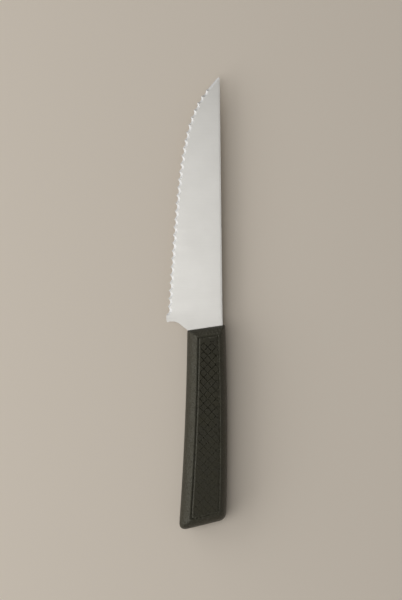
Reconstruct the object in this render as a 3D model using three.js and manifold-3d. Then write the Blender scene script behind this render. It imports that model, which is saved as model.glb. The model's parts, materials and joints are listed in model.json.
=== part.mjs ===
// Steak knife: a stamped and ground blade whose tang is locked inside a moulded plastic handle.
// Millimetres. +Y runs to the point, +X to the back of the blade, and +Z is up from the table.
// The sizes below start from the middle of the handle's front end, in the middle plane of the blade.
import * as THREE from "three";
import { mergeVertices } from "three/addons/utils/BufferGeometryUtils.js";
import Module from "manifold-3d";

const wasm = await Module();
wasm.setup();

const { degToRad, lerp, smoothstep } = THREE.MathUtils;
const at = (x, y) => new THREE.Vector2(x, y);

// Blade blank
const STOCK = 1.5; // sheet thickness
const TIP = at(6.75, 125.15); // the point is blunt: it ends in two corners
const BACK_END = at(7.36, 124.7);
const HEEL_NOSE = at(-19.3, 5.6);
const EDGE_HEEL_PULL = at(-14, 84.6); // the two pulls bend the edge between heel nose and tip
const EDGE_TIP_PULL = at(-12.55, 111.35);
const BACK_AT_HANDLE = at(8.8, 0);
const CHOIL_CENTRE = at(-16.4, -3.45);
const CHOIL_RADIUS = 6.5;
const CHOIL_SLOPE = degToRad(39); // fall of the straight line that leads from the choil into the handle

// Grind
const EDGE_THICKNESS = 0.5; // left behind the teeth before they are cut
const BACK_THICKNESS = 1.44; // of the ground blade at its widest
const FULL_STOCK_UNTIL = -4; // the grind fades in between these two distances from the handle
const FULL_GRIND_FROM = 10;
const GRIND_CLEARANCE = 0.02; // over the sheet where nothing is ground
const BACK_EASE_WIDTH = 1.2; // slope that takes the corner off the back
const BACK_EASE_SHARE = 0.06; // of the half thickness there

// Teeth
const SCALLOPS = 29; // of full depth
const TOOTH_PITCH = 3.985;
const FIRST_TOOTH = 5; // along the edge from the heel nose
const TOOTH_SETBACK = 0.6; // how far the points lie inside the blank's edge
const SCALLOP_DEPTH = 0.95;
const BEVEL_ANGLE = degToRad(30);
const TIP_EDGE_START = at(1.85, 119.6); // plain stretch of the edge between the last scallop and the point
const TIP_EDGE_END = at(6.2, 124.85);

// Tang
const TANG_BELLY = -5.6;
const TANG_BACK = 5;
const TANG_END = -72;
const TANG_END_RADIUS = 4;
const SHOULDER = -7; // where the back of the blade steps down to the tang
const SHOULDER_RADIUS = 2.5;
const LOCK_HOLES = [-20, -40, -60];
const LOCK_HOLE_RADIUS = 2.4;
const MOULD_GAP = 0.1; // clearance between steel and plastic

// Handle
const HALF_THICKNESS = 6.5;
const FRONT_Y = -0.1; // front end at the middle, and its rise toward the back
const FRONT_RISE = 0.147;
const BUTT_Y = -98.47; // butt end at the middle, and its rise toward the back
const BUTT_RISE = 0.244;
const BELLY_FRONT = -8.8; // belly line: nearly straight at the front, flared at the butt
const BELLY_PULL = -9.3;
const BELLY_BUTT = -12.85;
const BACK_FRONT = 10;
const BACK_PULL = 11.9;
const BACK_BUTT = 10.4;
const SLOPES = { belly: 4.8, back: 2.75, front: 3.8, butt: 3.9 }; // widths of the slopes seen from above
const CORNERS = { bellyFront: 0.8, backFront: 0.8, backButt: 3.7, bellyButt: 4.7 };
const SLOPE_ARC = degToRad(60); // part of a quarter turn that the crowned slopes cover
const RIM = 0.6;
const GROOVE_OUTER = 0.3; // widths of the groove's steep outer wall and its gentler inner one
const GROOVE_INNER = 0.75;
const GROOVE_DEPTH = 0.4;
const PANEL_INSET = RIM + GROOVE_OUTER + GROOVE_INNER;

// Diamond check
const CHECK_ACROSS = 4.05;
const CHECK_ALONG = 4.28;
const CHECK_CENTRE = at(1.45, -50.3); // middle of one diamond
const CHECK_MARGIN = 0.3;
const CHECK_FRONT_MARGIN = 1.2; // more of it at the front end
const CHECK_CUT_WIDTH = 0.48;
const CHECK_CUT_DEPTHS = [0.24, 0.22]; // the two directions differ, so that their floors don't meet in a point

const SHORTEST_EDGE = 0.004; // shorter edges that the cuts leave are taken out

// A closed three.js geometry as a solid that can be cut
function solidOf(geometry) {
  geometry.deleteAttribute("normal");
  geometry.deleteAttribute("uv");
  const merged = mergeVertices(geometry, 1e-5);
  const corners = merged.index.array;
  const triangles = [];
  for (let i = 0; i < corners.length; i += 3) {
    const [a, b, c] = corners.slice(i, i + 3);
    if (a !== b && b !== c && c !== a) triangles.push(a, b, c);
  }
  const mesh = new wasm.Mesh({
    numProp: 3,
    vertProperties: new Float32Array(merged.attributes.position.array),
    triVerts: new Uint32Array(triangles),
  });
  mesh.merge();
  return new wasm.Manifold(mesh);
}

// A cut solid as a named three.js mesh
function meshOf(solid, name, material) {
  const { vertProperties, triVerts } = solid.simplify(SHORTEST_EDGE).getMesh();
  const geometry = new THREE.BufferGeometry();
  geometry.setAttribute("position", new THREE.BufferAttribute(vertProperties, 3));
  geometry.setIndex(new THREE.BufferAttribute(triVerts, 1));
  geometry.computeVertexNormals();
  const mesh = new THREE.Mesh(geometry, material);
  mesh.name = name;
  return mesh;
}

// Rings with the same number of points, skinned one to the next and capped at both ends.
// Each ring runs anticlockwise seen from the far end of the stack. A cap joins the first point of its
// ring to the last one, the second to the last but one, and so on.
function loft(rings) {
  const count = rings[0].length;
  const positions = rings.flat().flatMap((p) => [p.x, p.y, p.z]);
  const faces = [];
  for (let r = 0; r + 1 < rings.length; r += 1) {
    for (let i = 0; i < count; i += 1) {
      const a = r * count + i;
      const b = r * count + ((i + 1) % count);
      faces.push(a, b, b + count, a, b + count, a + count);
    }
  }
  const top = (rings.length - 1) * count;
  for (let i = 0; i + 1 < count / 2; i += 1) {
    const [a, b, c, d] = [i, i + 1, count - 2 - i, count - 1 - i];
    faces.push(a, c, b, a, d, c);
    faces.push(top + a, top + b, top + c, top + a, top + c, top + d);
  }
  const geometry = new THREE.BufferGeometry();
  geometry.setAttribute("position", new THREE.Float32BufferAttribute(positions, 3));
  geometry.setIndex(faces);
  return solidOf(geometry);
}

// A flat outline with holes, drawn through the given points, as a plate centred on z = 0
function plate(points, thickness, holes = []) {
  const shape = new THREE.Shape(points);
  shape.holes = holes;
  const geometry = new THREE.ExtrudeGeometry(shape, { depth: thickness, bevelEnabled: false, curveSegments: 20 });
  return solidOf(geometry.translate(0, 0, -thickness / 2));
}

const arc = (centre, radius, from, to, steps) =>
  new THREE.EllipseCurve(
    centre.x, centre.y, radius, radius, degToRad(from), degToRad(to), to < from,
  ).getPoints(steps);

const edge = new THREE.CubicBezierCurve(HEEL_NOSE, EDGE_HEEL_PULL, EDGE_TIP_PULL, TIP);
const backX = (y) => lerp(BACK_AT_HANDLE.x, BACK_END.x, y / BACK_END.y);

// Outline of the stamped blank, blade and tang in one, grown all round by a clearance.
// It starts at the tip and runs down the edge, round the tang and up the back.
function blankOutline(grow) {
  const radius = CHOIL_RADIUS - grow;
  const choilEnd = 90 - THREE.MathUtils.radToDeg(CHOIL_SLOPE);
  const choil = arc(CHOIL_CENTRE, radius, 112, choilEnd, 12);
  const leave = choil.at(-1);
  const belly = TANG_BELLY - grow;
  const back = TANG_BACK + grow;
  const end = TANG_END - grow;
  const endRadius = TANG_END_RADIUS;
  const fillet = SHOULDER_RADIUS - grow;
  const heel = new THREE.QuadraticBezierCurve(HEEL_NOSE, at(HEEL_NOSE.x - 0.15, 3.4), choil[0]);
  return [
    ...edge.getPoints(60).reverse(),
    ...heel.getPoints(6).slice(1, -1),
    ...choil,
    at(belly, leave.y - (belly - leave.x) * Math.tan(CHOIL_SLOPE)),
    ...arc(at(belly + endRadius, end + endRadius), endRadius, 180, 270, 6),
    ...arc(at(back - endRadius, end + endRadius), endRadius, 270, 360, 6),
    ...arc(at(back + fillet, SHOULDER - SHOULDER_RADIUS), fillet, 180, 90, 6),
    at(backX(SHOULDER) + grow, SHOULDER - grow),
    at(BACK_AT_HANDLE.x + grow, BACK_AT_HANDLE.y),
    BACK_END,
  ];
}

const lockHoles = (radius) =>
  LOCK_HOLES.map((y) => new THREE.Path().absarc((TANG_BELLY + TANG_BACK) / 2, y, radius, 0, 2 * Math.PI, true));

// The space that the grinding wheels leave: thin along the edge, thicker toward the back, and wider
// than the sheet near the handle. Each ring is one cross-section.
function grindSpace() {
  const slope = (BACK_THICKNESS - EDGE_THICKNESS) / (BACK_AT_HANDLE.x - HEEL_NOSE.x);
  const stations = edge.getPoints(72).map((p) => [p.x, p.y]);
  const [first, last] = [stations[0], stations.at(-1)];
  const before = [TANG_END - 5, -4, -2, 0, 2, 4].map((y) => [first[0], y]);
  const beyond = [[last[0] + 3, last[1] + 2]];
  const rings = [...before, ...stations, ...beyond].map(([edgeX, y]) => {
    const fade = smoothstep(y, FULL_STOCK_UNTIL, FULL_GRIND_FROM);
    const half = (x) => lerp(STOCK / 2 + GRIND_CLEARANCE, (EDGE_THICKNESS + slope * (x - edgeX)) / 2, fade);
    const outer = edgeX - 2;
    const ease = Math.max(backX(y) - BACK_EASE_WIDTH, edgeX - 1);
    const inner = ease + 2 * BACK_EASE_WIDTH;
    const drop = 2 * BACK_EASE_SHARE * half(ease) * fade;
    return [
      new THREE.Vector3(outer, y, half(outer)),
      new THREE.Vector3(ease, y, half(ease)),
      new THREE.Vector3(inner, y, half(inner) - drop),
      new THREE.Vector3(inner, y, drop - half(inner)),
      new THREE.Vector3(ease, y, -half(ease)),
      new THREE.Vector3(outer, y, -half(outer)),
    ];
  });
  return loft(rings);
}

// A cutter that stands on the edge at the bevel angle, from the upper side of the blade.
// Its own axes run along the edge, along the wheel's axle and down to the blade.
function edgeCutter(geometry, floor, along) {
  const [sine, cosine] = [Math.sin(BEVEL_ANGLE), Math.cos(BEVEL_ANGLE)];
  const inward = at(along.y, -along.x);
  const axle = new THREE.Vector3(inward.x * cosine, inward.y * cosine, sine);
  const down = new THREE.Vector3(inward.x * sine, inward.y * sine, -cosine);
  const axes = new THREE.Matrix4().makeBasis(new THREE.Vector3(along.x, along.y, 0), axle, down);
  axes.setPosition(floor.x, floor.y, -EDGE_THICKNESS / 2);
  return solidOf(geometry.applyMatrix4(axes));
}

// One scallop: a grinding wheel whose lowest point lies on the floor point
function scallop(floor, along) {
  const depth = SCALLOP_DEPTH * Math.sin(BEVEL_ANGLE);
  const radius = (TOOTH_PITCH ** 2 / 4 + depth ** 2) / (2 * depth);
  const wheel = new THREE.CylinderGeometry(radius, radius, 16, 72).translate(0, 0, -radius);
  return edgeCutter(wheel, floor, along);
}

function buildBlade() {
  let blade = plate(blankOutline(0), STOCK, lockHoles(LOCK_HOLE_RADIUS)).intersect(grindSpace());
  for (let i = 0; i < SCALLOPS; i += 1) {
    const share = (FIRST_TOOTH + (i - 0.5) * TOOTH_PITCH) / edge.getLength();
    const along = edge.getTangentAt(share);
    const inward = at(along.y, -along.x);
    const floor = edge.getPointAt(share).addScaledVector(inward, TOOTH_SETBACK + SCALLOP_DEPTH);
    blade = blade.subtract(scallop(floor, along));
  }
  const tipEdge = TIP_EDGE_END.clone().sub(TIP_EDGE_START);
  const length = tipEdge.length() + 3;
  const along = tipEdge.normalize();
  const plain = new THREE.BoxGeometry(length, 16, 6).translate(length / 2, 0, -3);
  return blade
    .subtract(scallop(TIP_EDGE_START, along))
    .subtract(edgeCutter(plain, TIP_EDGE_START, along));
}

const bellyLine = new THREE.QuadraticBezierCurve(
  at(BELLY_FRONT, 0), at(BELLY_PULL, BUTT_Y / 2), at(BELLY_BUTT, BUTT_Y),
);
const backLine = new THREE.QuadraticBezierCurve(
  at(BACK_FRONT, 0), at(BACK_PULL, BUTT_Y / 2), at(BACK_BUTT, BUTT_Y),
);
const bellyX = (y) => bellyLine.getPoint(y / BUTT_Y).x;
const handleBackX = (y) => backLine.getPoint(y / BUTT_Y).x;

// One closed outline of the handle, drawn in from the widest one by the given distances, at height z
function handleRing(inset, z) {
  const sides = { belly: (y) => bellyX(y) + inset.belly, back: (y) => handleBackX(y) - inset.back };
  const front = (x) => FRONT_Y + FRONT_RISE * x - inset.front * Math.hypot(1, FRONT_RISE);
  const butt = (x) => BUTT_Y + BUTT_RISE * x + inset.butt * Math.hypot(1, BUTT_RISE);
  const meet = (side, end, y) => {
    for (let i = 0; i < 8; i += 1) y = end(side(y));
    return at(side(y), y);
  };
  const corner = {
    bellyFront: meet(sides.belly, front, 0),
    backFront: meet(sides.back, front, 0),
    backButt: meet(sides.back, butt, BUTT_Y),
    bellyButt: meet(sides.belly, butt, BUTT_Y),
  };
  const round = (name, side, end, turn) => {
    const size = Math.max(CORNERS[name] - 0.55 * Math.min(inset.belly, inset.butt), 0.3);
    const c = corner[name];
    const down = name.endsWith("Front") ? -size : size;
    const inner = name.startsWith("belly") ? size : -size;
    const onSide = at(side(c.y + down), c.y + down);
    const onEnd = at(c.x + inner, end(c.x + inner));
    const curve = turn
      ? new THREE.QuadraticBezierCurve(onSide, c, onEnd)
      : new THREE.QuadraticBezierCurve(onEnd, c, onSide);
    return curve.getPoints(6);
  };
  const rail = (side, from, to) => {
    const points = [];
    for (let i = 1; i < 16; i += 1) {
      const y = lerp(from.y, to.y, i / 16);
      points.push(at(side(y), y));
    }
    return points;
  };
  const bellyFront = round("bellyFront", sides.belly, front, false);
  const bellyButt = round("bellyButt", sides.belly, butt, true);
  const backButt = round("backButt", sides.back, butt, false);
  const backFront = round("backFront", sides.back, front, true);
  const outline = [
    ...bellyFront,
    ...rail(sides.belly, bellyFront.at(-1), bellyButt[0]),
    ...bellyButt,
    ...backButt,
    ...rail(sides.back, backButt.at(-1), backFront[0]),
    ...backFront,
  ];
  return outline.map((p) => new THREE.Vector3(p.x, p.y, z));
}

const scaled = (share, extra) =>
  Object.fromEntries(Object.entries(SLOPES).map(([side, width]) => [side, width * share + extra]));

// Outlines from the middle plane up the crowned slopes, over the rim and through the groove to the panel
function upperRings() {
  const rings = [];
  for (let i = 1; i <= 6; i += 1) {
    const turn = (SLOPE_ARC * i) / 6;
    const share = (1 - Math.cos(turn)) / (1 - Math.cos(SLOPE_ARC));
    rings.push([share, 0, (HALF_THICKNESS * Math.sin(turn)) / Math.sin(SLOPE_ARC)]);
  }
  rings.push([1, RIM, HALF_THICKNESS]);
  rings.push([1, RIM + GROOVE_OUTER, HALF_THICKNESS - GROOVE_DEPTH]);
  rings.push([1, PANEL_INSET, HALF_THICKNESS]);
  return rings;
}

// V-shaped cuts in two directions, kept inside the panel, for the side of the handle at the given height
function checkCuts(height) {
  const sign = Math.sign(height);
  const inset = scaled(1, PANEL_INSET + CHECK_MARGIN);
  inset.front += CHECK_FRONT_MARGIN;
  const panel = loft([handleRing(inset, height - 1), handleRing(inset, height + 1)]);
  const reach = 0.5;
  const cuts = [];
  for (const [way, depth] of CHECK_CUT_DEPTHS.entries()) {
    const halfTop = (CHECK_CUT_WIDTH / 2) * (1 + reach / depth);
    const profile = new THREE.Shape([at(-halfTop, reach), at(0, -depth), at(halfTop, reach)]);
    const angle = Math.atan2(CHECK_ALONG, way === 0 ? CHECK_ACROSS : -CHECK_ACROSS);
    for (let i = -14; i < 14; i += 1) {
      const bar = new THREE.ExtrudeGeometry(profile, { depth: 30, bevelEnabled: false });
      bar.translate(0, 0, -15);
      bar.rotateX(Math.PI / 2);
      if (sign < 0) bar.rotateY(Math.PI);
      bar.rotateZ(angle - Math.PI / 2);
      bar.translate(CHECK_CENTRE.x, CHECK_CENTRE.y + (i + 0.5) * CHECK_ALONG, height);
      cuts.push(solidOf(bar));
    }
  }
  return wasm.Manifold.union(cuts).intersect(panel);
}

function buildHandle() {
  const upper = upperRings();
  const stack = [
    ...upper.map(([share, extra, z]) => [share, extra, -z]).reverse(),
    [0, 0, 0],
    ...upper,
  ];
  const body = loft(stack.map(([share, extra, z]) => handleRing(scaled(share, extra), z)));
  const cavity = plate(
    blankOutline(MOULD_GAP), STOCK + 2 * MOULD_GAP, lockHoles(LOCK_HOLE_RADIUS - MOULD_GAP),
  );
  return body
    .subtract(checkCuts(HALF_THICKNESS))
    .subtract(checkCuts(-HALF_THICKNESS))
    .subtract(cavity);
}

const steel = new THREE.MeshStandardMaterial({ color: "#c9c6be", roughness: 0.35, metalness: 1 });
const plastic = new THREE.MeshStandardMaterial({ color: "#26241f", roughness: 0.5, metalness: 0 });
for (const material of [steel, plastic]) material.flatShading = true;

const knife = new THREE.Group();
knife.add(meshOf(buildBlade(), "blade", steel));
knife.add(meshOf(buildHandle(), "handle", plastic));

// The part stands on z = 0 with its origin under the middle of its box
const box = new THREE.Box3().setFromObject(knife);
const middle = box.getCenter(new THREE.Vector3());
knife.position.set(-middle.x, -middle.y, -box.min.z);

const part = new THREE.Group();
part.name = "steak_knife";
part.add(knife);

export default part;
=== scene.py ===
"""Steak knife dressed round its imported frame: a ground, scalloped blade in a moulded, checked handle.

Meshes are in metres and in the frame's axes: +Y to the point, +X to the back of the blade, +Z up.
The sizes of the pieces are millimetres from the knife's own zero, which the Datum class explains.
"""

import json
import logging
import math
from collections.abc import Callable, Sequence
from dataclasses import dataclass, field, replace
from enum import Enum

import bpy
from mathutils import Matrix, Vector

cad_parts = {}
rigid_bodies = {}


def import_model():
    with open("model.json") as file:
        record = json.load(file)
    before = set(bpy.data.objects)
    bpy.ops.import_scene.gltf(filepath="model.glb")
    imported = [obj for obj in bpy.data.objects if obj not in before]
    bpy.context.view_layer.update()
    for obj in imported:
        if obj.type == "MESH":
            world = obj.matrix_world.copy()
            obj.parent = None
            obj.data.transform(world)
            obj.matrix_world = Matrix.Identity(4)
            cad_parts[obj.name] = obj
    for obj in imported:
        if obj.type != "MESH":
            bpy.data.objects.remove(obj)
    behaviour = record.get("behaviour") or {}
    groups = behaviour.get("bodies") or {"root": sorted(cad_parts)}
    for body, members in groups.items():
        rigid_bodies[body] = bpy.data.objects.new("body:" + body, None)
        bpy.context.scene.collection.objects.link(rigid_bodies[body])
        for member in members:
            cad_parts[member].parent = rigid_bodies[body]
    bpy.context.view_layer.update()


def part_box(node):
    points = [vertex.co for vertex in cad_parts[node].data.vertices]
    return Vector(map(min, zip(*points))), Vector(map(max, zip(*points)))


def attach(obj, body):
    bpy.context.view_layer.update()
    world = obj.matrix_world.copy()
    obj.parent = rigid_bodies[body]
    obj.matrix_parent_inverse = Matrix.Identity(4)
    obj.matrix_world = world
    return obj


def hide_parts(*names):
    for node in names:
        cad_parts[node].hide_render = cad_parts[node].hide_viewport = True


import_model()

LOG = logging.getLogger("steak_knife")
MM = 0.001
BODY = "root"
VIEW_CENTRE = (-2.0, 13.75)  # what the camera looks at, in millimetres from the knife's zero
MERGE_DISTANCE = 2e-7  # points nearer than this become one, in metres
PLACE_DIGITS = 6  # two places that agree to this many digits of a metre are the same
ROUND_SIDES = 48  # of a round hole

Rail = Callable[[float], float]  # a line of an outline: its x at a y, or its y at an x


class Cut(Enum):
    """What a cutter does to a piece."""

    TAKE_AWAY = "DIFFERENCE"
    KEEP_COMMON = "INTERSECT"


class Side(Enum):
    """The two flat sides of the knife, by the sign of their height over the middle plane."""

    UPPER = 1
    LOWER = -1


def bezier(controls: Sequence[Vector], share: float) -> Vector:
    """A point on a Bezier curve.

    Args:
        controls: the curve's control points.
        share: how far along the curve, from 0 to 1.

    Returns:
        The point there.
    """
    points = list(controls)
    while len(points) > 1:
        points = [a.lerp(b, share) for a, b in zip(points, points[1:])]
    return points[0]


def curve_points(controls: Sequence[Vector], steps: int) -> list[Vector]:
    """Points along a Bezier curve, both ends included.

    Args:
        controls: the curve's control points.
        steps: the number of spans between the points.

    Returns:
        The points in order.
    """
    return [bezier(controls, i / steps) for i in range(steps + 1)]


def arc_points(centre: Vector, radius: float, start: float, end: float, steps: int) -> list[Vector]:
    """Points along an arc, both ends included.

    Args:
        centre: the arc's centre.
        radius: its radius.
        start: the angle of its first point, in degrees from +X.
        end: the angle of its last point.
        steps: the number of spans between the points.

    Returns:
        The points in order.
    """
    angles = [math.radians(start + (end - start) * i / steps) for i in range(steps + 1)]
    return [centre + Vector((math.cos(a), math.sin(a))) * radius for a in angles]


def rise(value: float, low: float, high: float) -> float:
    """A straight rise from 0 at low to 1 at high."""
    return min(max((value - low) / (high - low), 0.0), 1.0)


def smooth_step(value: float, low: float, high: float) -> float:
    """A rise from 0 at low to 1 at high that is level at both ends."""
    share = rise(value, low, high)
    return share * share * (3 - 2 * share)


def spot(x: float, y: float) -> Vector:
    """A dataclass field that holds a flat point."""
    return field(default_factory=lambda: Vector((x, y)))


@dataclass(frozen=True)
class Datum:
    """The knife's own zero in the frame.

    It is the middle of the handle's front end, in the middle plane of the blade.
    """

    origin: Vector

    def at(self, x: float, y: float, z: float = 0.0) -> Vector:
        """A place in the frame, in metres, from millimetres off the knife's zero."""
        return self.origin + Vector((x, y, z)) * MM


class Bench:
    """The modelling moves that the pieces share, each on one object at a time."""

    @staticmethod
    def let_go() -> None:
        """Deselects every object."""
        for thing in bpy.context.view_layer.objects:
            thing.select_set(False)

    @staticmethod
    def hold(piece: bpy.types.Object) -> None:
        """Makes one object the only selected one and the active one.

        Args:
            piece: the object.
        """
        Bench.let_go()
        piece.select_set(True)
        bpy.context.view_layer.objects.active = piece

    @staticmethod
    def skin(name: str, rings: Sequence[Sequence[Vector]]) -> bpy.types.Object:
        """Wraps a grid round rings of points and fills its two ends.

        Args:
            name: the object's name.
            rings: rings with the same number of points, from one end of the body to the other.

        Returns:
            The closed body.
        """
        around = len(rings[0])
        along = len(rings) - 1
        Bench.let_go()
        bpy.ops.mesh.primitive_grid_add(x_subdivisions=around, y_subdivisions=along, size=1)
        piece = bpy.context.object
        piece.name = name
        for vertex in piece.data.vertices:
            column = round((vertex.co.x + 0.5) * around) % around
            row = round((vertex.co.y + 0.5) * along)
            vertex.co = rings[row][column]
        Bench.open_all()
        bpy.ops.mesh.remove_doubles(threshold=MERGE_DISTANCE)
        for ring in (rings[0], rings[-1]):
            Bench.select_ring(piece, ring)
            bpy.ops.mesh.edge_face_add()
        Bench.turn_outward()
        return piece

    @staticmethod
    def select_ring(piece: bpy.types.Object, ring: Sequence[Vector]) -> None:
        """Selects the vertices that lie on a ring of points, in edit mode.

        Args:
            piece: the object in edit mode.
            ring: the points of the ring.
        """
        bpy.ops.mesh.select_mode(type="VERT")
        bpy.ops.mesh.select_all(action="DESELECT")
        bpy.ops.object.mode_set(mode="OBJECT")
        wanted = {tuple(round(c, PLACE_DIGITS) for c in point) for point in ring}
        for vertex in piece.data.vertices:
            vertex.select = tuple(round(c, PLACE_DIGITS) for c in vertex.co) in wanted
        bpy.ops.object.mode_set(mode="EDIT")

    @staticmethod
    def select_faces(piece: bpy.types.Object, wanted: Callable[[bpy.types.MeshPolygon], bool]) -> None:
        """Selects the faces that pass a test and stays in edit mode.

        Args:
            piece: the active object, in object mode.
            wanted: the test.
        """
        bpy.ops.object.mode_set(mode="EDIT")
        bpy.ops.mesh.select_mode(type="FACE")
        bpy.ops.mesh.select_all(action="DESELECT")
        bpy.ops.object.mode_set(mode="OBJECT")
        for face in piece.data.polygons:
            face.select = wanted(face)
        bpy.ops.object.mode_set(mode="EDIT")

    @staticmethod
    def open_all() -> None:
        """Goes into edit mode with all of the active object selected."""
        bpy.ops.object.mode_set(mode="EDIT")
        bpy.ops.mesh.select_all(action="SELECT")

    @staticmethod
    def extrude(height: float) -> None:
        """Extrudes the active object, a flat sheet, upward into a closed body.

        Args:
            height: how far it is extruded, in metres.
        """
        Bench.open_all()
        bpy.ops.mesh.extrude_region_move(TRANSFORM_OT_translate={"value": (0, 0, height)})
        Bench.turn_outward()

    @staticmethod
    def turn_outward() -> None:
        """Points all faces of the object in edit mode outward and leaves edit mode."""
        bpy.ops.mesh.select_all(action="SELECT")
        bpy.ops.mesh.normals_make_consistent(inside=False)
        bpy.ops.object.mode_set(mode="OBJECT")

    @staticmethod
    def plate(name: str, outline: Sequence[Vector], thickness: float) -> bpy.types.Object:
        """Lays a filled circle on an outline and extrudes it upward.

        Args:
            name: the object's name.
            outline: the plate's lower outline.
            thickness: how far it is extruded, in metres.

        Returns:
            The plate.
        """
        Bench.let_go()
        bpy.ops.mesh.primitive_circle_add(vertices=len(outline), radius=1, fill_type="NGON")
        piece = bpy.context.object
        piece.name = name
        for vertex, point in zip(piece.data.vertices, outline):
            vertex.co = point
        Bench.extrude(thickness)
        return piece

    @staticmethod
    def bar(place: Vector, radius: float, length: float) -> bpy.types.Object:
        """Adds an upright round bar.

        Args:
            place: its middle.
            radius: its radius.
            length: its length.

        Returns:
            The bar.
        """
        Bench.let_go()
        bpy.ops.mesh.primitive_cylinder_add(vertices=ROUND_SIDES, radius=radius, depth=length, location=place)
        return bpy.context.object

    @staticmethod
    def join(name: str, parts: Sequence[bpy.types.Object]) -> bpy.types.Object:
        """Makes one object of several.

        Args:
            name: the joined object's name.
            parts: the objects to join.

        Returns:
            The joined object.
        """
        Bench.hold(parts[0])
        for part in parts:
            part.select_set(True)
        bpy.ops.object.join()
        parts[0].name = name
        return parts[0]

    @staticmethod
    def cut(piece: bpy.types.Object, cutter: bpy.types.Object, how: Cut) -> None:
        """Cuts a piece with another object, which is used up.

        Args:
            piece: the object that is cut.
            cutter: the object it is cut with.
            how: what the cutter does to the piece.
        """
        Bench.hold(piece)
        change = piece.modifiers.new("cut", "BOOLEAN")
        change.operation = how.value
        change.solver = "EXACT"
        change.material_mode = "TRANSFER"
        change.object = cutter
        bpy.ops.object.modifier_apply(modifier=change.name)
        bpy.data.objects.remove(cutter)

    @staticmethod
    def finish(piece: bpy.types.Object, sharp_from: float) -> None:
        """Merges doubles, turns the faces outward, applies the place and smooths the shading.

        Args:
            piece: the finished object.
            sharp_from: the angle between two faces, in degrees, from which their edge stays sharp.
        """
        Bench.hold(piece)
        bpy.ops.object.transform_apply(location=True, rotation=True, scale=True)
        Bench.open_all()
        bpy.ops.mesh.remove_doubles(threshold=MERGE_DISTANCE)
        Bench.turn_outward()
        bpy.ops.object.shade_smooth_by_angle(angle=math.radians(sharp_from))


@dataclass
class NodeSheet:
    """The node tree of a material or a group, with short ways to fill it."""

    tree: bpy.types.NodeTree

    def add(self, kind: str, **values: object) -> bpy.types.Node:
        """Adds a node.

        Args:
            kind: the node's type.
            values: its settings, or its input values by their socket names with spaces as underscores.

        Returns:
            The node.
        """
        node = self.tree.nodes.new(kind)
        for name, value in values.items():
            if hasattr(node, name):
                setattr(node, name, value)
            else:
                node.inputs[name.replace("_", " ")].default_value = value
        return node

    def link(self, source: bpy.types.NodeSocket, target: bpy.types.NodeSocket) -> None:
        """Joins an output to an input."""
        self.tree.links.new(source, target)

    def group(
        self, tree: bpy.types.NodeTree, vector: bpy.types.NodeSocket, **values: float
    ) -> bpy.types.Node:
        """Places a node group.

        Args:
            tree: the group.
            vector: the output that its Vector input reads.
            values: its other inputs by their names with spaces as underscores.

        Returns:
            The group's node.
        """
        node = self.add("ShaderNodeGroup", node_tree=tree, **values)
        self.link(vector, node.inputs["Vector"])
        return node

    def math(self, operation: str, *values: object) -> bpy.types.NodeSocket:
        """Adds a math node.

        Args:
            operation: what it works out.
            values: its inputs in order, each a number or an output.

        Returns:
            The node's output.
        """
        node = self.add("ShaderNodeMath", operation=operation)
        for socket, value in zip(node.inputs, values):
            if isinstance(value, (int, float)):
                socket.default_value = value
            else:
                self.link(value, socket)
        return node.outputs[0]

    def swing(self, share: bpy.types.NodeSocket, middle: float, width: float) -> bpy.types.NodeSocket:
        """A number that swings by a width round its middle while an output goes from 0 to 1."""
        return self.math("MULTIPLY_ADD", share, width, middle - width / 2)

    def share_out(
        self, first: bpy.types.NodeSocket, second: bpy.types.NodeSocket, share: float
    ) -> bpy.types.NodeSocket:
        """A sum of two outputs, of which the first has the share and the second the rest."""
        return self.math("MULTIPLY_ADD", first, share, self.math("MULTIPLY", second, 1 - share))

    def blend(
        self, share: bpy.types.NodeSocket, low: Sequence[float], high: Sequence[float]
    ) -> bpy.types.NodeSocket:
        """Adds a mix of two colours.

        Args:
            share: the output that says how much of the second colour shows.
            low: the first colour.
            high: the second colour.

        Returns:
            The mixed colour's output.
        """
        node = self.add("ShaderNodeMix", data_type="RGBA")
        self.link(share, node.inputs["Factor"])
        node.inputs["A"].default_value = (*low, 1)
        node.inputs["B"].default_value = (*high, 1)
        return node.outputs["Result"]


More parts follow.
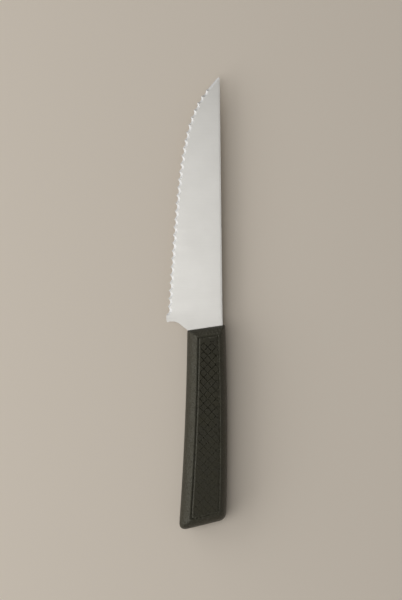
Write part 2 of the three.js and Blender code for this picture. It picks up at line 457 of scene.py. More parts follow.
class Effects:
    """The surface effects that several finishes share, each built once as a node group."""

    STREAK_FINENESS = 0.12  # of the broad streaks, as a part of the fine lines'
    LINES_THROUGH = 400.0  # changes of the lines per metre of thickness

    def __init__(self) -> None:
        """Builds the groups."""
        self.lines = self.grinding_lines()
        self.clouds = self.soft_clouds()

    @staticmethod
    def new_group(
        name: str, inputs: Sequence[str], outputs: Sequence[str]
    ) -> tuple[NodeSheet, bpy.types.NodeOutputs, bpy.types.NodeInputs]:
        """Starts a node group.

        Args:
            name: the group's name.
            inputs: names of its number inputs; a Vector input comes first.
            outputs: names of its number outputs.

        Returns:
            Its node sheet, the inputs to read inside it and the outputs to fill.
        """
        tree = bpy.data.node_groups.new(name, "ShaderNodeTree")
        tree.interface.new_socket(name="Vector", in_out="INPUT", socket_type="NodeSocketVector")
        for label in inputs:
            tree.interface.new_socket(name=label, in_out="INPUT", socket_type="NodeSocketFloat")
        for label in outputs:
            tree.interface.new_socket(name=label, in_out="OUTPUT", socket_type="NodeSocketFloat")
        sheet = NodeSheet(tree)
        given = sheet.add("NodeGroupInput")
        result = sheet.add("NodeGroupOutput")
        return sheet, given.outputs, result.inputs

    @staticmethod
    def grinding_lines() -> bpy.types.NodeTree:
        """Builds fine parallel lines that run along X, as a belt or wheel leaves them.

        Returns:
            The group.
        """
        sheet, given, result = Effects.new_group(
            "grinding_lines", ("Lines per metre", "Runs per metre"), ("Height", "Streaks")
        )
        split = sheet.add("ShaderNodeSeparateXYZ")
        sheet.link(given["Vector"], split.inputs[0])
        for label, fineness, detail in (("Height", 1.0, 2.0), ("Streaks", Effects.STREAK_FINENESS, 1.0)):
            joined = sheet.add("ShaderNodeCombineXYZ")
            run = sheet.math("MULTIPLY", split.outputs["X"], given["Runs per metre"])
            line = sheet.math("MULTIPLY", split.outputs["Y"], given["Lines per metre"])
            sheet.link(run, joined.inputs["X"])
            sheet.link(sheet.math("MULTIPLY", line, fineness), joined.inputs["Y"])
            sheet.link(sheet.math("MULTIPLY", split.outputs["Z"], Effects.LINES_THROUGH), joined.inputs["Z"])
            noise = sheet.add("ShaderNodeTexNoise", Scale=1.0, Detail=detail, Roughness=0.6)
            sheet.link(joined.outputs[0], noise.inputs["Vector"])
            sheet.link(noise.outputs["Fac"], result[label])
        return sheet.tree

    @staticmethod
    def soft_clouds() -> bpy.types.NodeTree:
        """Builds a soft uneven tone, as handling and light wear leave it.

        Returns:
            The group.
        """
        sheet, given, result = Effects.new_group("soft_clouds", ("Spots per metre",), ("Tone",))
        noise = sheet.add("ShaderNodeTexNoise", Detail=3.0, Roughness=0.55)
        sheet.link(given["Vector"], noise.inputs["Vector"])
        sheet.link(given["Spots per metre"], noise.inputs["Scale"])
        spread = sheet.add("ShaderNodeMapRange", From_Min=0.3, From_Max=0.7)
        sheet.link(noise.outputs["Fac"], spread.inputs["Value"])
        sheet.link(spread.outputs["Result"], result["Tone"])
        return sheet.tree


def new_material(name: str) -> tuple[bpy.types.Material, NodeSheet, bpy.types.Node]:
    """Starts a material with a Principled shader.

    Args:
        name: the material's name.

    Returns:
        The material, its node sheet and its shader node.
    """
    material = bpy.data.materials.new(name)
    material.use_nodes = True
    return material, NodeSheet(material.node_tree), material.node_tree.nodes["Principled BSDF"]


@dataclass(frozen=True)
class SteelFinish:
    """Stainless steel with fine grinding lines."""

    name: str
    dark: tuple[float, float, float]
    light: tuple[float, float, float]
    roughness: float
    roughness_swing: float
    lines_per_metre: float
    runs_per_metre: float
    turn: float
    line_depth: float
    spots_per_metre: float = 90.0
    streak_share: float = 0.5

    def material(self, effects: Effects) -> bpy.types.Material:
        """Builds the material.

        Args:
            effects: the shared node groups.

        Returns:
            The new material.
        """
        material, sheet, shader = new_material(self.name)
        place = sheet.add("ShaderNodeTexCoord").outputs["Object"]
        turned = sheet.add("ShaderNodeMapping", vector_type="TEXTURE")
        turned.inputs["Rotation"].default_value = (0, 0, math.radians(self.turn))
        sheet.link(place, turned.inputs["Vector"])
        lines = sheet.group(
            effects.lines,
            turned.outputs[0],
            Lines_per_metre=self.lines_per_metre,
            Runs_per_metre=self.runs_per_metre,
        )
        clouds = sheet.group(effects.clouds, place, Spots_per_metre=self.spots_per_metre)
        streaks = lines.outputs["Streaks"]
        tone = sheet.share_out(streaks, clouds.outputs["Tone"], self.streak_share)
        sheet.link(sheet.blend(tone, self.dark, self.light), shader.inputs["Base Color"])
        rough = sheet.swing(streaks, self.roughness, self.roughness_swing)
        sheet.link(rough, shader.inputs["Roughness"])
        bump = sheet.add("ShaderNodeBump", Strength=1.0, Distance=self.line_depth)
        sheet.link(lines.outputs["Height"], bump.inputs["Height"])
        sheet.link(bump.outputs["Normal"], shader.inputs["Normal"])
        shader.inputs["Metallic"].default_value = 1.0
        return material


@dataclass(frozen=True)
class PlasticFinish:
    """Black plastic with a fine moulded grain."""

    name: str
    dark: tuple[float, float, float]
    light: tuple[float, float, float]
    roughness: float
    roughness_swing: float
    grains_per_metre: float
    grain_depth: float
    ripples_per_metre: float
    ripple_depth: float
    specks_per_metre: float
    speck_share: float
    specular: float
    specular_tint: tuple[float, float, float]
    spots_per_metre: float = 160.0

    def material(self, effects: Effects) -> bpy.types.Material:
        """Builds the material.

        Args:
            effects: the shared node groups.

        Returns:
            The new material.
        """
        material, sheet, shader = new_material(self.name)
        place = sheet.add("ShaderNodeTexCoord").outputs["Object"]
        clouds = sheet.group(effects.clouds, place, Spots_per_metre=self.spots_per_metre)
        specks = sheet.group(effects.clouds, place, Spots_per_metre=self.specks_per_metre)
        tone = sheet.share_out(specks.outputs["Tone"], clouds.outputs["Tone"], self.speck_share)
        sheet.link(sheet.blend(tone, self.dark, self.light), shader.inputs["Base Color"])
        rough = sheet.swing(tone, self.roughness, self.roughness_swing)
        sheet.link(rough, shader.inputs["Roughness"])
        normal = None
        for pitch, depth in (
            (self.ripples_per_metre, self.ripple_depth),
            (self.grains_per_metre, self.grain_depth),
        ):
            noise = sheet.add("ShaderNodeTexNoise", Scale=pitch, Detail=2.0, Roughness=0.5)
            sheet.link(place, noise.inputs["Vector"])
            bump = sheet.add("ShaderNodeBump", Strength=1.0, Distance=depth)
            sheet.link(noise.outputs["Fac"], bump.inputs["Height"])
            if normal is not None:
                sheet.link(normal, bump.inputs["Normal"])
            normal = bump.outputs["Normal"]
        sheet.link(normal, shader.inputs["Normal"])
        shader.inputs["Specular IOR Level"].default_value = self.specular
        shader.inputs["Specular Tint"].default_value = (*self.specular_tint, 1)
        return material


GROUND_FACE = SteelFinish(
    name="ground_face",
    dark=(0.60, 0.588, 0.560),
    light=(0.66, 0.648, 0.620),
    roughness=0.34,
    roughness_swing=0.10,
    lines_per_metre=9000.0,
    runs_per_metre=45.0,
    turn=0.0,
    line_depth=0.0000012,
)
GROUND_EDGE = SteelFinish(
    name="ground_edge",
    dark=(0.52, 0.518, 0.507),
    light=(0.59, 0.588, 0.577),
    roughness=0.46,
    roughness_swing=0.08,
    lines_per_metre=12000.0,
    runs_per_metre=200.0,
    turn=8.0,
    line_depth=0.0000015,
)
SHEARED_EDGE = SteelFinish(
    name="sheared_edge",
    dark=(0.52, 0.51, 0.48),
    light=(0.62, 0.61, 0.58),
    roughness=0.40,
    roughness_swing=0.12,
    lines_per_metre=4000.0,
    runs_per_metre=500.0,
    turn=90.0,
    line_depth=0.000002,
)
MOULDED_BLACK = PlasticFinish(
    name="moulded_black",
    dark=(0.0050, 0.0045, 0.0022),
    light=(0.0225, 0.0204, 0.0107),
    roughness=0.40,
    roughness_swing=0.36,
    grains_per_metre=3400.0,
    grain_depth=0.00010,
    ripples_per_metre=1050.0,
    ripple_depth=0.00060,
    specks_per_metre=1100.0,
    speck_share=0.65,
    specular=0.66,
    specular_tint=(1.0, 0.96, 0.80),
)
GRIP_BLACK = replace(
    MOULDED_BLACK,
    name="grip_black",
    roughness=0.72,
    roughness_swing=0.16,
    ripple_depth=0.0002,
    speck_share=0.5,
    specular=0.55,
)


@dataclass
class Blade:
    """The stamped and ground blade with its tang. Sizes are millimetres, angles degrees."""

    stock: float = 1.5
    tip: Vector = spot(6.75, 125.15)
    back_end: Vector = spot(7.36, 124.7)
    heel_nose: Vector = spot(-19.3, 5.6)
    heel_bulge: float = 0.15
    heel_bulge_y: float = 3.4
    edge_heel_pull: Vector = spot(-14.0, 84.6)
    edge_tip_pull: Vector = spot(-12.55, 111.35)
    back_at_handle: float = 8.8
    choil_centre: Vector = spot(-16.4, -3.45)
    choil_radius: float = 6.5
    choil_start: float = 112.0
    choil_slope: float = 39.0
    edge_thickness: float = 0.5
    back_thickness: float = 1.44
    full_stock_until: float = -4.0
    full_grind_from: float = 10.0
    grind_clearance: float = 0.02
    grind_overrun: float = 2.0
    behind_tang: float = 5.0
    fade_sections: tuple[float, ...] = (-20.0, *range(-4, 6))
    past_tip_x: float = 3.0
    past_tip_y: float = 2.0
    face_steps: int = 6
    back_ease_width: float = 1.2
    back_ease_share: float = 0.064
    back_ease_sections: tuple[float, ...] = (0.2, 0.4, 0.6, 0.8, 1.0, 1.5)
    tip_ease_room: float = 1.0
    scallop_count: int = 29
    tooth_pitch: float = 3.985
    first_tooth: float = 5.0
    tooth_setback: float = 0.35
    scallop_depth: float = 1.1
    bevel_angle: float = 27.0
    wheel_half_arc: float = 38.0
    wheel_crest: float = 1.0
    cutter_reach_out: float = 8.0
    cutter_reach_in: float = 3.5
    tip_edge_start: Vector = spot(1.85, 119.6)
    tip_edge_end: Vector = spot(6.2, 124.85)
    tip_edge_overrun: float = 3.0
    tip_edge_crest: float = 6.0
    tang_belly: float = -5.6
    tang_back: float = 5.0
    tang_end: float = -72.0
    tang_end_radius: float = 4.0
    shoulder: float = -7.0
    shoulder_radius: float = 2.5
    lock_holes: tuple[float, ...] = (-20.0, -40.0, -60.0)
    lock_hole_radius: float = 2.4
    punch_length: float = 6.0
    sharp_from: float = 22.0

    def __post_init__(self) -> None:
        """Finds the knife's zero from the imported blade."""
        low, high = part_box("blade")
        back = high.x - self.back_x(self.shoulder) * MM
        self.datum = Datum(Vector((back, high.y - self.tip.y * MM, (low.z + high.z) / 2)))

    @property
    def edge(self) -> list[Vector]:
        """The control points of the blank's edge, from the heel's nose to the tip."""
        return [self.heel_nose, self.edge_heel_pull, self.edge_tip_pull, self.tip]

    def back_x(self, y: float) -> float:
        """Where the back lies at a distance from the handle."""
        return self.back_at_handle + (self.back_end.x - self.back_at_handle) * y / self.back_end.y

    def outline(self, grow: float) -> list[Vector]:
        """The stamped outline of blade and tang in one.

        Args:
            grow: how far it is grown all round.

        Returns:
            Its points, from the tip down the edge, round the tang and up the back.
        """
        choil_end = 90 - self.choil_slope
        radius = self.choil_radius - grow
        choil = arc_points(self.choil_centre, radius, self.choil_start, choil_end, steps=28)
        heel = [self.heel_nose, Vector((self.heel_nose.x - self.heel_bulge, self.heel_bulge_y)), choil[0]]
        belly = self.tang_belly - grow
        back = self.tang_back + grow
        end = self.tang_end - grow + self.tang_end_radius
        fall = math.tan(math.radians(self.choil_slope)) * (belly - choil[-1].x)
        fillet = self.shoulder_radius - grow
        fillet_centre = Vector((back + fillet, self.shoulder - self.shoulder_radius))
        inner = self.tang_end_radius
        return [
            *reversed(curve_points(self.edge, steps=160)),
            *curve_points(heel, steps=12)[1:-1],
            *choil,
            Vector((belly, choil[-1].y - fall)),
            *arc_points(Vector((belly + inner, end)), inner, 180, 270, steps=16),
            *arc_points(Vector((back - inner, end)), inner, 270, 360, steps=16),
            *arc_points(fillet_centre, fillet, 180, 90, steps=12),
            Vector((self.back_x(self.shoulder) + grow, self.shoulder - grow)),
            Vector((self.back_at_handle + grow, 0)),
            self.back_end,
        ]

    def stamped(self, name: str, grow: float) -> bpy.types.Object:
        """Makes the flat blank with its punched holes.

        Args:
            name: the object's name.
            grow: how far the blank is grown all round, which also narrows its holes.

        Returns:
            The blank.
        """
        half = self.stock / 2 + grow
        low = [self.datum.at(p.x, p.y, -half) for p in self.outline(grow)]
        blank = Bench.plate(name, low, 2 * half * MM)
        middle = (self.tang_belly + self.tang_back) / 2
        radius = (self.lock_hole_radius - grow) * MM
        for y in self.lock_holes:
            punch = Bench.bar(self.datum.at(middle, y), radius, self.punch_length * MM)
            Bench.cut(blank, punch, Cut.TAKE_AWAY)
        return blank

    def half_thickness(self, x: float, y: float, edge_x: float) -> float:
        """Half the thickness that the grinding wheels leave.

        Args:
            x: distance across the blade.
            y: distance from the handle.
            edge_x: where the blank's edge lies at that distance.

        Returns:
            The half thickness, which is more than the sheet's near the handle.
        """
        slope = (self.back_thickness - self.edge_thickness) / (self.back_at_handle - self.heel_nose.x)
        fade = smooth_step(y, self.full_stock_until, self.full_grind_from)
        ground = (self.edge_thickness + slope * (x - edge_x)) / 2
        plain = self.stock / 2 + self.grind_clearance
        half = plain + (ground - plain) * fade
        over = max(x - self.ease_start(y, edge_x), 0.0) / self.back_ease_width
        return half - over**2 * self.back_ease_share * half * fade

    def ease_start(self, y: float, edge_x: float) -> float:
        """Where the rounding of the back begins."""
        return max(self.back_x(y) - self.back_ease_width, edge_x - self.tip_ease_room)

    def grind_ring(self, edge_x: float, y: float) -> list[Vector]:
        """One cross-section of the ground space.

        Args:
            edge_x: where the blank's edge lies.
            y: distance from the handle.

        Returns:
            The section's points, along the upper face and back along the lower one.
        """
        outer = edge_x - self.grind_overrun
        ease = self.ease_start(y, edge_x)
        places = [outer + (ease - outer) * i / self.face_steps for i in range(self.face_steps + 1)]
        places += [ease + self.back_ease_width * share for share in self.back_ease_sections]
        upper = [self.datum.at(x, y, self.half_thickness(x, y, edge_x)) for x in places]
        lower = [self.datum.at(x, y, -self.half_thickness(x, y, edge_x)) for x in places]
        return upper + lower[::-1]

    def ground(self) -> bpy.types.Object:
        """Makes the space that the grinding wheels leave for the blade.

        Returns:
            The space as a closed body.
        """
        # It starts behind the tang, with close sections where the grind fades in, and ends past the tip
        first = (self.tang_end - self.behind_tang, *self.fade_sections)
        start = [(self.heel_nose.x, y) for y in first]
        stations = [(p.x, p.y) for p in curve_points(self.edge, steps=150)]
        beyond = [(self.tip.x + self.past_tip_x, self.tip.y + self.past_tip_y)]
        return Bench.skin("ground_space", [self.grind_ring(x, y) for x, y in start + stations + beyond])

    def edge_places(self) -> list[tuple[Vector, Vector]]:
        """Finds the middle of each scallop along the blank's edge.

        Returns:
            For each scallop its place on the edge and the direction of the edge there.
        """
        line = curve_points(self.edge, steps=600)
        places = []
        reach = 0.0
        wanted = self.first_tooth - 0.5 * self.tooth_pitch
        for a, b in zip(line, line[1:]):
            step = (b - a).length
            while reach <= wanted < reach + step and len(places) < self.scallop_count:
                places.append((a.lerp(b, (wanted - reach) / step), (b - a).normalized()))
                wanted += self.tooth_pitch
            reach += step
        return places

    def edge_cutter(self, outline: Sequence[Vector], floor: Vector, along: Vector) -> bpy.types.Object:
        """Stands a cutter on the edge at the bevel angle, from the upper side of the blade.

        Args:
            outline: the cutter's outline: distance along the edge and height over its floor.
            floor: where its floor lies.
            along: the direction of the edge there.

        Returns:
            The cutter, which reaches out past the edge and in past the upper face.
        """
        sine = math.sin(math.radians(self.bevel_angle))
        cosine = math.cos(math.radians(self.bevel_angle))
        inward = Vector((along.y, -along.x))
        axes = Matrix((
            (along.x, -inward.x * sine, inward.x * cosine),
            (along.y, -inward.y * sine, inward.y * cosine),
            (0, cosine, sine),
        ))
        low = [Vector((p.x, p.y, -self.cutter_reach_out)) * MM for p in outline]
        cutter = Bench.plate("edge_cutter", low, (self.cutter_reach_out + self.cutter_reach_in) * MM)
        place = self.datum.at(floor.x, floor.y, -self.edge_thickness / 2)
        cutter.matrix_world = Matrix.Translation(place) @ axes.to_4x4()
        return cutter

    def edge_cutters(self) -> list[bpy.types.Object]:
        """Makes the wheels that cut the scallops and the flat one that cuts the plain edge at the point.

        Returns:
            Three cutters: the scallops by turns in two of them, so that the wheels of one don't touch.
        """
        depth = self.scallop_depth * math.sin(math.radians(self.bevel_angle))
        radius = (self.tooth_pitch**2 / 4 + depth**2) / (2 * depth)
        arc = self.wheel_half_arc
        rim = arc_points(Vector((0, radius)), radius, 270 - arc, 270 + arc, steps=40)
        crest = radius + self.wheel_crest
        wheel = [*rim, Vector((rim[-1].x, crest)), Vector((rim[0].x, crest))]
        wheels = []
        for point, along in self.edge_places():
            inward = Vector((along.y, -along.x))
            floor = point + inward * (self.tooth_setback + self.scallop_depth)
            wheels.append(self.edge_cutter(wheel, floor, along))
        tip_edge = self.tip_edge_end - self.tip_edge_start
        along = tip_edge.normalized()
        wheels.append(self.edge_cutter(wheel, self.tip_edge_start, along))
        end = tip_edge.length + self.tip_edge_overrun
        top = self.tip_edge_crest
        plain = [Vector(corner) for corner in ((0, 0), (end, 0), (end, top), (0, top))]
        flat = self.edge_cutter(plain, self.tip_edge_start, along)
        return [*(Bench.join("scallop_wheels", wheels[first::2]) for first in (0, 1)), flat]

    def build(self, effects: Effects) -> bpy.types.Object:
        """Makes the blade: stamped, ground and scalloped.

        Args:
            effects: the shared node groups.

        Returns:
            The finished piece.
        """
        piece = self.ground()
        piece.data.materials.append(GROUND_FACE.material(effects))
        blank = self.stamped("blank", 0.0)
        blank.data.materials.append(SHEARED_EDGE.material(effects))
        Bench.cut(piece, blank, Cut.KEEP_COMMON)
        bevel = GROUND_EDGE.material(effects)
        for cutter in self.edge_cutters():
            cutter.data.materials.append(bevel)
            Bench.cut(piece, cutter, Cut.TAKE_AWAY)
        Bench.finish(piece, self.sharp_from)
        piece.name = "ground_blade"
        return piece


@dataclass
class Handle:
    """The plastic handle that is moulded round the tang. Sizes are millimetres, angles degrees."""

    blade: Blade
    half_thickness: float = 6.5
    front_y: float = -0.1
    front_rise: float = 0.147
    butt_y: float = -98.47
    butt_rise: float = 0.244
    belly: tuple[float, float, float] = (-8.8, -9.3, -12.85)  # at the front, at its pull, at the butt
    back: tuple[float, float, float] = (10.0, 11.9, 10.4)  # the same places
    slopes: tuple[float, float, float, float] = (4.8, 2.75, 3.8, 3.9)  # belly, back, front, butt
    front_corner: float = 0.8
    back_butt_corner: float = 3.7
    belly_butt_corner: float = 4.7
    corner_loss: float = 0.55
    least_corner: float = 0.3
    corner_rounds: int = 12
    side_steps: int = 44
    slope_arc: float = 60.0
    slope_steps: int = 16
    rim: float = 0.6
    groove_outer: float = 0.3
    groove_inner: float = 0.75
    groove_depth: float = 0.4
    softness: float = 0.08
    seam_height: float = 0.05
    seam_half_width: float = 0.12
    mould_gap: float = 0.1
    check_across: float = 4.05
    check_along: float = 4.28
    check_centre: Vector = spot(1.45, -50.3)
    check_margin: float = 0.3
    check_front_margin: float = 1.2
    check_depth: float = 0.28
    check_depth_at_butt: float = 0.085
    check_fade_start: float = -28.0
    check_fade_end: float = -66.0
    check_overcut: float = 0.1
    check_cells: int = 13
    die_height: float = 2.0
    flat_from: float = 0.97
    sharp_from: float = 28.0

    @property
    def panel_inset(self) -> float:
        """How far the grip panel lies inside the slopes."""
        return self.rim + self.groove_outer + self.groove_inner

    def rail(self, pulls: tuple[float, float, float]) -> Rail:
        """One long side of the handle.

        Args:
            pulls: its distance across at the front, at its pull and at the butt.

        Returns:
            The distance across as a function of the distance from the front.
        """
        controls = [Vector((x, 0)) for x in pulls]
        return lambda y: bezier(controls, y / self.butt_y).x

    def ring(self, share: float, extra: float, z: float, front_extra: float = 0.0) -> list[Vector]:
        """One closed outline of the handle, drawn in from its widest one.

        Args:
            share: the part of the slopes' widths that it is drawn in by.
            extra: a further distance that it is drawn in by, the same on all sides.
            z: its height over the middle plane.
            front_extra: a distance that only its front end is drawn in by as well.

        Returns:
            Its points in the frame.
        """
        inset = [width * share + extra for width in self.slopes]
        inset[2] += front_extra
        belly_rail, back_rail = self.rail(self.belly), self.rail(self.back)

        def belly(y: float) -> float:
            """Distance across of the belly side."""
            return belly_rail(y) + inset[0]

        def back(y: float) -> float:
            """Distance across of the back side."""
            return back_rail(y) - inset[1]

        def front(x: float) -> float:
            """Distance along of the front end."""
            return self.front_y + self.front_rise * x - inset[2] * math.hypot(1, self.front_rise)

        def butt(x: float) -> float:
            """Distance along of the butt end."""
            return self.butt_y + self.butt_rise * x + inset[3] * math.hypot(1, self.butt_rise)

        def corner(side: Rail, end: Rail, start: float, size: float, way: tuple[int, int]) -> list[Vector]:
            """Rounds the corner between a side and an end.

            Args:
                side: distance across of the side.
                end: distance along of the end.
                start: distance along from which the corner is sought.
                size: how far the rounding reaches on the widest outline.
                way: signs of the ways along the end and along the side.

            Returns:
                Its points, from the end to the side.
            """
            y = start
            for _ in range(self.corner_rounds):
                y = end(side(y))
            point = Vector((side(y), y))
            size = max(size - self.corner_loss * min(inset[0], inset[3]), self.least_corner)
            on_end = Vector((point.x + way[0] * size, end(point.x + way[0] * size)))
            on_side = Vector((side(y + way[1] * size), y + way[1] * size))
            return curve_points([on_end, point, on_side], steps=10)

        def run(side: Rail, start: Vector, end: Vector) -> list[Vector]:
            """Draws a long side between two corners.

            Args:
                side: distance across of the side.
                start: the last point of the first corner.
                end: the first point of the second corner.

            Returns:
                The points between the two.
            """
            steps = self.side_steps
            ys = [start.y + (end.y - start.y) * i / steps for i in range(1, steps)]
            return [Vector((side(y), y)) for y in ys]

        belly_front = corner(belly, front, 0, self.front_corner, (1, -1))
        belly_butt = corner(belly, butt, self.butt_y, self.belly_butt_corner, (1, 1))[::-1]
        back_butt = corner(back, butt, self.butt_y, self.back_butt_corner, (-1, 1))
        back_front = corner(back, front, 0, self.front_corner, (-1, -1))[::-1]
        outline = [
            *belly_front,
            *run(belly, belly_front[-1], belly_butt[0]),
            *belly_butt,
            *back_butt,
            *run(back, back_butt[-1], back_front[0]),
            *back_front,
        ]
        return [self.blade.datum.at(p.x, p.y, z) for p in outline]

    def upper_profile(self) -> list[tuple[float, float, float]]:
        """The section of the upper half, from the seam up the slope and through the groove.

        Returns:
            For each ring its share of the slopes, its further inset and its height.
        """
        arc = math.radians(self.slope_arc)
        top, soft = self.half_thickness, self.softness
        profile = [(0.0, 0.0, self.seam_half_width)]
        for i in range(1, self.slope_steps + 1):
            turn = arc * i / self.slope_steps
            share = (1 - math.cos(turn)) / (1 - math.cos(arc))
            height = top * math.sin(turn) / math.sin(arc)
            profile.append((share, 0.0, height))
        profile[-1] = (1.0, 0.0, top - 0.35 * soft)
        outer, inner = self.groove_depth / self.groove_outer, self.groove_depth / self.groove_inner
        middle = self.rim + self.groove_outer
        floor = top - self.groove_depth
        # Rings on both sides of each corner of rim, groove and panel round it off, within the softness
        profile += [
            (1.0, 1.2 * soft, top),
            (1.0, self.rim - soft, top),
            (1.0, self.rim, top - 0.3 * soft),
            (1.0, self.rim + soft, top - outer * soft),
            (1.0, middle - soft, floor + outer * soft),
            (1.0, middle, floor + 0.25 * (outer + inner) * soft),
            (1.0, middle + soft, floor + inner * soft),
            (1.0, self.panel_inset - soft, top - inner * soft),
            (1.0, self.panel_inset, top - 0.3 * soft),
            (1.0, self.panel_inset + soft, top),
        ]
        return profile

    def moulded(self) -> bpy.types.Object:
        """Makes the outside of the moulding, with the seam of the mould round its middle.

        Returns:
            The closed body.
        """
        upper = self.upper_profile()
        lower = [(share, extra, -z) for share, extra, z in reversed(upper)]
        seam = [(0.0, -self.seam_height, 0.0)]
        return Bench.skin("moulding", [self.ring(*row) for row in lower + seam + upper])

    def check_lattice(self) -> bpy.types.Object:
        """Lays a grid of rhombs over the panel, at the depth of the check's valleys.

        Returns:
            The grid, without the rhombs that lie outside the handle's box.
        """
        cells = 2 * self.check_cells + 1
        Bench.let_go()
        bpy.ops.mesh.primitive_grid_add(x_subdivisions=cells, y_subdivisions=cells, size=cells)
        piece = bpy.context.object
        for vertex in piece.data.vertices:
            x = self.check_centre.x + (vertex.co.x - vertex.co.y) * self.check_across / 2
            y = self.check_centre.y + (vertex.co.x + vertex.co.y) * self.check_along / 2
            faded = rise(y, self.check_fade_start, self.check_fade_end)
            loss = (self.check_depth - self.check_depth_at_butt) * faded
            vertex.co = self.blade.datum.at(x, y, self.half_thickness - self.check_depth + loss)
        low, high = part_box("handle")

        def clear_of_handle(face: bpy.types.MeshPolygon) -> bool:
            """Tells if a rhomb lies outside the handle's box."""
            place = face.center
            return not (low.x < place.x < high.x and low.y < place.y < high.y)

        Bench.select_faces(piece, clear_of_handle)
        bpy.ops.mesh.delete(type="FACE")
        bpy.ops.object.mode_set(mode="OBJECT")
        return piece

    def check_cuts(self, side: Side) -> bpy.types.Object:
        """Makes the die that presses the diamonds, kept inside the panel.

        Args:
            side: the flat side that it presses.

        Returns:
            The die: a slab with a pit for each diamond in its lower face.
        """
        die = self.check_lattice()
        wall = (self.check_depth + self.check_overcut) * MM
        height = self.die_height * MM
        Bench.extrude(height)
        # The faces that look down are the pits' mouths, so the pits go up from them
        Bench.select_faces(die, lambda face: face.normal.z < -0.5)
        bpy.ops.mesh.inset(thickness=wall, depth=-wall, use_individual=True)
        bpy.ops.object.mode_set(mode="OBJECT")
        inset = self.panel_inset + self.check_margin
        low = self.half_thickness - self.die_height / 2
        outline = self.ring(1.0, inset, low, self.check_front_margin)
        panel = Bench.plate("check_panel", outline, height)
        Bench.cut(die, panel, Cut.KEEP_COMMON)
        if side is Side.LOWER:
            self.turn_over(die)
        return die

    def turn_over(self, piece: bpy.types.Object) -> None:
        """Mirrors an object on the middle plane.

        Args:
            piece: the object, which stays closed with its faces outward.
        """
        Bench.hold(piece)
        Bench.open_all()
        bpy.ops.transform.resize(value=(1, 1, -1), center_override=self.blade.datum.origin)
        Bench.turn_outward()

    def build(self, effects: Effects) -> bpy.types.Object:
        """Makes the handle: moulded, checked on both sides and hollow for the tang.

        Args:
            effects: the shared node groups.

        Returns:
            The finished piece.
        """
        piece = self.moulded()
        piece.data.materials.append(MOULDED_BLACK.material(effects))
        grip = GRIP_BLACK.material(effects)
        piece.data.materials.append(grip)
        for face in piece.data.polygons:
            face.material_index = int(abs(face.normal.z) > self.flat_from)
        for side in Side:
            die = self.check_cuts(side)
            die.data.materials.append(grip)
            Bench.cut(piece, die, Cut.TAKE_AWAY)
        Bench.cut(piece, self.blade.stamped("tang_space", self.mould_gap), Cut.TAKE_AWAY)
        Bench.finish(piece, self.sharp_from)
        piece.name = "moulded_handle"
        return piece


@dataclass(frozen=True)
class Lamp:
    """A flat soft lamp. Sizes are metres."""

    name: str
    place: tuple[float, float, float]
    towards: tuple[float, float, float]
    width: float
    height: float
    glow: float

    def hang(self) -> None:
        """Hangs the lamp; a glow of 1 shows as plain white in a mirror."""
        data = bpy.data.lights.new(self.name, "AREA")
        data.shape = "RECTANGLE"
        data.size = self.width
        data.size_y = self.height
        data.energy = self.glow * math.pi * self.width * self.height
        lamp = bpy.data.objects.new(self.name, data)
        lamp.location = self.place
        aim = Vector(self.towards) - Vector(self.place)
        lamp.rotation_euler = aim.to_track_quat("-Z", "Y").to_euler()
        lamp.visible_camera = False
        bpy.context.scene.collection.objects.link(lamp)


CEILING = Lamp(
    name="ceiling_lamp",
    place=(-0.75, -0.25, 1.5),
    towards=(-0.75, -0.25, 0.0),
    width=1.5,
    height=1.15,
    glow=1.51,
)
WINDOW = Lamp(
    name="window_lamp",
    place=(-0.95, -0.24, 0.47),
    towards=(0.0, 0.0, 0.0),
    width=1.35,
    height=0.66,
    glow=1.65,
)
FAR_FILL = Lamp(
    name="far_fill",
    place=(-1.12, 0.96, 0.51),
    towards=(0.0, 0.0, 0.0),
    width=1.3,
    height=0.98,
    glow=1.15,
)


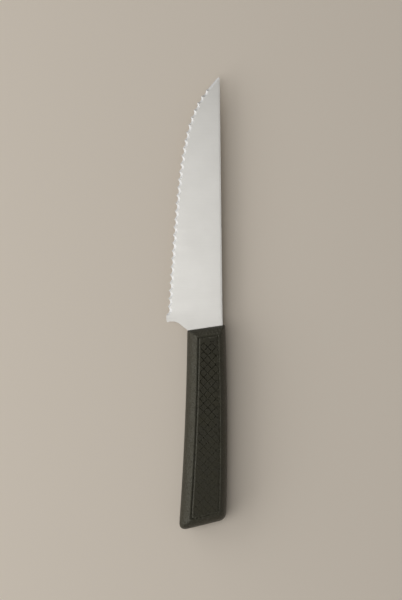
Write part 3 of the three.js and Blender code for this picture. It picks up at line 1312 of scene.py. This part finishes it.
@dataclass
class Studio:
    """The floor, the lamps and the camera. Sizes are metres."""

    centre: Vector
    lamps: tuple[Lamp, ...] = (CEILING, WINDOW, FAR_FILL)
    view_height: float = 0.30
    camera_distance: float = 0.95
    sensor: float = 36.0  # in millimetres
    floor_size: float = 8.0
    floor_drop: float = 0.00005
    floor_colour: tuple[float, float, float] = (0.84, 0.755, 0.65)
    floor_roughness: float = 0.9
    floor_specular: float = 0.1
    sky_colour: tuple[float, float, float] = (1.0, 0.985, 0.95)
    sky_strength: float = 0.18
    backdrop_strength: float = 0.36

    def floor(self) -> None:
        """Lays the plain pale floor under the knife."""
        Bench.let_go()
        bpy.ops.mesh.primitive_plane_add(size=self.floor_size, location=(0, 0, -self.floor_drop))
        piece = bpy.context.object
        piece.name = "floor"
        material, _, shader = new_material("pale_floor")
        shader.inputs["Base Color"].default_value = (*self.floor_colour, 1)
        shader.inputs["Roughness"].default_value = self.floor_roughness
        shader.inputs["Specular IOR Level"].default_value = self.floor_specular
        piece.data.materials.append(material)

    def sky(self) -> None:
        """Fills the studio with even light, and with a pale backdrop that the camera and mirrors see."""
        world = bpy.data.worlds.new("studio")
        world.use_nodes = True
        sheet = NodeSheet(world.node_tree)
        background = world.node_tree.nodes["Background"]
        background.inputs["Color"].default_value = (*self.sky_colour, 1)
        path = sheet.add("ShaderNodeLightPath").outputs
        seen = sheet.math("MAXIMUM", path["Is Camera Ray"], path["Is Glossy Ray"])
        seen = sheet.math("MAXIMUM", seen, path["Is Transmission Ray"])
        more = self.backdrop_strength - self.sky_strength
        strength = sheet.math("MULTIPLY_ADD", seen, more, self.sky_strength)
        sheet.link(strength, background.inputs["Strength"])
        bpy.context.scene.world = world

    def camera(self) -> None:
        """Looks straight down on the knife, with +Y up in the picture."""
        data = bpy.data.cameras.new("camera")
        data.sensor_width = self.sensor
        data.lens = self.sensor * self.camera_distance / self.view_height
        camera = bpy.data.objects.new("camera", data)
        camera.location = self.centre + Vector((0, 0, self.camera_distance))
        bpy.context.scene.collection.objects.link(camera)
        bpy.context.scene.camera = camera

    def build(self) -> None:
        """Sets up the whole studio."""
        self.floor()
        self.sky()
        for lamp in self.lamps:
            lamp.hang()
        self.camera()
        bpy.context.scene.view_settings.view_transform = "Standard"


def fit(piece: bpy.types.Object, node: str) -> None:
    """Puts a finished piece in the place of its solid.

    Args:
        piece: the finished piece.
        node: the solid that it stands for.
    """
    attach(piece, BODY)
    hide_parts(node)
    size = " x ".join(f"{side / MM:.1f}" for side in piece.dimensions)
    LOG.info("%s: %d faces, %s mm", piece.name, len(piece.data.polygons), size)


def main() -> None:
    """Builds the knife and the studio."""
    logging.basicConfig(level=logging.INFO, format="%(name)s: %(message)s")
    effects = Effects()
    blade = Blade()
    fit(blade.build(effects), "blade")
    handle = Handle(blade)
    fit(handle.build(effects), "handle")
    Studio(centre=blade.datum.at(*VIEW_CENTRE)).build()


if __name__ == "__main__":
    main()
